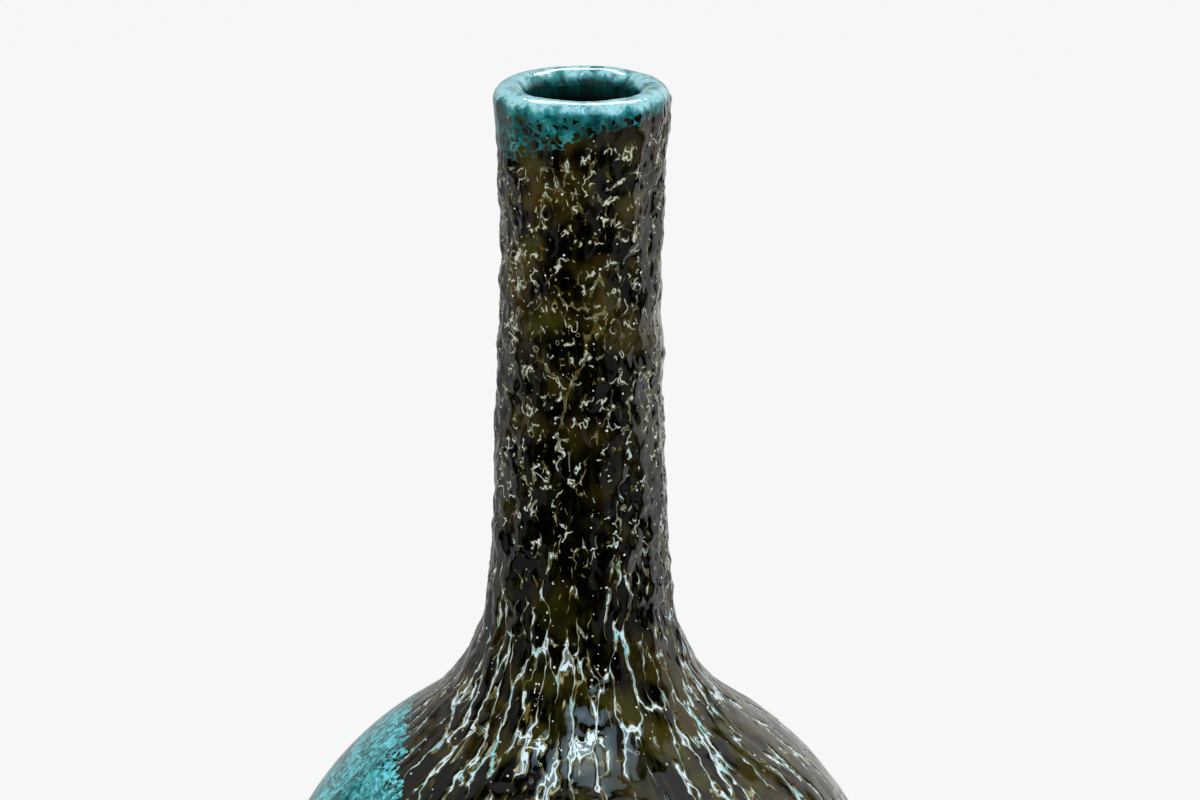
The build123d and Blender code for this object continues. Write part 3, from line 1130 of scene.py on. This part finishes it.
def makeFloor():
    level = (0.0, 0.0, studio["floorLevel"])
    bpy.ops.mesh.primitive_plane_add(size=2 * studio["floorReach"], location=level)
    floor = bpy.context.object
    floor.name = "floor"
    bpy.ops.object.transform_apply(location=True, rotation=True, scale=True)
    material, tree = newMaterial("paleFloor")
    seen, glossy = raysOf(tree)
    shown = larger(tree, times(tree, seen, studio["floorShown"]), glossy)
    mirrored = mirrorLevel(tree, put(tree, "ShaderNodeTexCoord").outputs["Object"])
    glow = timesPlus(tree, glossy, minus(tree, mirrored, studio["white"]), studio["white"])
    # the floor is darker close under the vase
    under = put(tree, "ShaderNodeAmbientOcclusion", {"Distance": studio["shadowReach"]})
    under.samples = studio["shadowSamples"]
    glow = times(tree, glow, blend(tree, under.outputs["AO"], studio["shadowLevels"], smooth=False))
    pale = put(tree, "ShaderNodeBsdfDiffuse", {"Color": studio["floorColour"]})
    lit = put(tree, "ShaderNodeEmission", {"Color": (1.0, 1.0, 1.0, 1.0), "Strength": glow})
    mixed = put(tree, "ShaderNodeMixShader", {0: shown, 1: pale.outputs[0], 2: lit.outputs[0]})
    showSurface(tree, mixed)
    floor.data.materials.append(material)


def aimAt(made, settings, front):
    towards = Vector(settings["aim"]) - Vector(settings["place"])
    made.rotation_mode = "QUATERNION"
    made.rotation_quaternion = towards.to_track_quat(front, "Y")


def makeSoftbox():
    box = studio["softbox"]
    bpy.ops.mesh.primitive_plane_add(size=box["size"], location=box["place"])
    panel = bpy.context.object
    panel.name = "softbox"
    aimAt(panel, box, "Z")
    material, tree = newMaterial("softboxCloth")
    away = vectorCalc(tree, "LENGTH", put(tree, "ShaderNodeTexCoord").outputs["Object"])
    shine = ramp(tree, away, 0.0, box["size"] * box["edge"], *box["levels"])
    front = minus(tree, 1.0, put(tree, "ShaderNodeNewGeometry").outputs["Backfacing"])
    cloth = put(tree, "ShaderNodeEmission", {"Color": box["tint"], "Strength": times(tree, shine, front)})
    showSurface(tree, cloth)
    panel.data.materials.append(material)
    panel.visible_camera = False


def makeLamps():
    for name, lamp in studio["lamps"].items():
        bpy.ops.object.light_add(type="AREA", location=lamp["place"])
        made = bpy.context.object
        made.name = name
        made.data.shape = "RECTANGLE"
        made.data.size, made.data.size_y = lamp["size"]
        made.data.energy = lamp["power"]
        made.visible_camera = False
        made.visible_diffuse = lamp["diffuse"]
        aimAt(made, lamp, "-Z")


def makeStudio():
    makeWorld()
    makeFloor()
    makeSoftbox()
    makeLamps()
    bpy.context.scene.view_settings.view_transform = "Standard"
    print("studio set")


# the coats part where the turquoise begins
def turquoiseFaces(piece):
    depths = readNumbers(piece.data.attributes["turquoiseDepth"].data, "value")
    return faceMeans(piece, depths) > 0.0


def facesTowards(piece, bearing):
    turn = math.radians(bearing)
    return faceMeans(piece, readPoints(piece)) @ np.array([math.cos(turn), math.sin(turn), 0.0])


makeCamera()
makeStudio()
neckArcs, globeArcs = outlineArcs()
neckRows = walkArcs(neckArcs, gridSizes["neckSpacing"])
globeRows = walkArcs(globeArcs, gridSizes["globeSpacing"], start=neckRows[-1][2])
print("outline rows:", len(neckRows), len(globeRows))
neckCoat = spinOutline("neckCoat", neckRows, gridSizes["neckSteps"])
bodyCoat = spinOutline("bodyCoat", globeRows, gridSizes["globeSteps"])
print("grids spun:", len(neckCoat.data.polygons), len(bodyCoat.data.polygons))
neckRun = storeFlow(neckCoat, neckRows)
footRun = storeFlow(bodyCoat, globeRows, neckRun)
relief = reliefTree()
applyRelief(neckCoat, relief)
applyRelief(bodyCoat, relief)
print("relief laid")

atRim = faceMeans(neckCoat, readPoints(neckCoat))[:, 2] > shoulderLine + glazePlaces["rimAbove"]
rimCoat = takeFaces(neckCoat, "rimCoat", turquoiseFaces(neckCoat) & atRim)
toLeft = facesTowards(bodyCoat, glazePlaces["left"]["bearing"])
toRear = facesTowards(bodyCoat, glazePlaces["rear"]["bearing"])
leftFieldCoat = takeFaces(bodyCoat, "leftFieldCoat", turquoiseFaces(bodyCoat) & (toLeft > toRear))
rearFieldCoat = takeFaces(bodyCoat, "rearFieldCoat", turquoiseFaces(bodyCoat))
print("coats parted")

darkGlaze = glazeMaterial("darkGlaze")
turquoiseGlaze = glazeMaterial("turquoiseGlaze")
for piece, node, slot, glaze in (
    (rimCoat, "rim_glaze", "turquoise_glaze", turquoiseGlaze),
    (neckCoat, "neck_glaze", "dark_glaze", darkGlaze),
    (bodyCoat, "body_glaze", "dark_glaze", darkGlaze),
    (leftFieldCoat, "left_field_glaze", "turquoise_glaze", turquoiseGlaze),
    (rearFieldCoat, "rear_field_glaze", "turquoise_glaze", turquoiseGlaze),
):
    closeShell(piece, footRun)
    piece.data.materials.clear()
    piece.data.materials.append(glaze)
    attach(piece, "root")
    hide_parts(node)
print("coats glazed")

# the liner and the clay are shown as their own solids
firedClay = clayMaterial()
finishes = dict.fromkeys(("body_globe", "neck_tube", "shoulder_collar", "foot_ring"), firedClay)
finishes["liner_glaze"] = linerMaterial()
for node, finish in finishes.items():
    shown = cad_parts[node]
    shown.data.materials.clear()
    shown.data.materials.append(finish)
print("clay and liner finished")
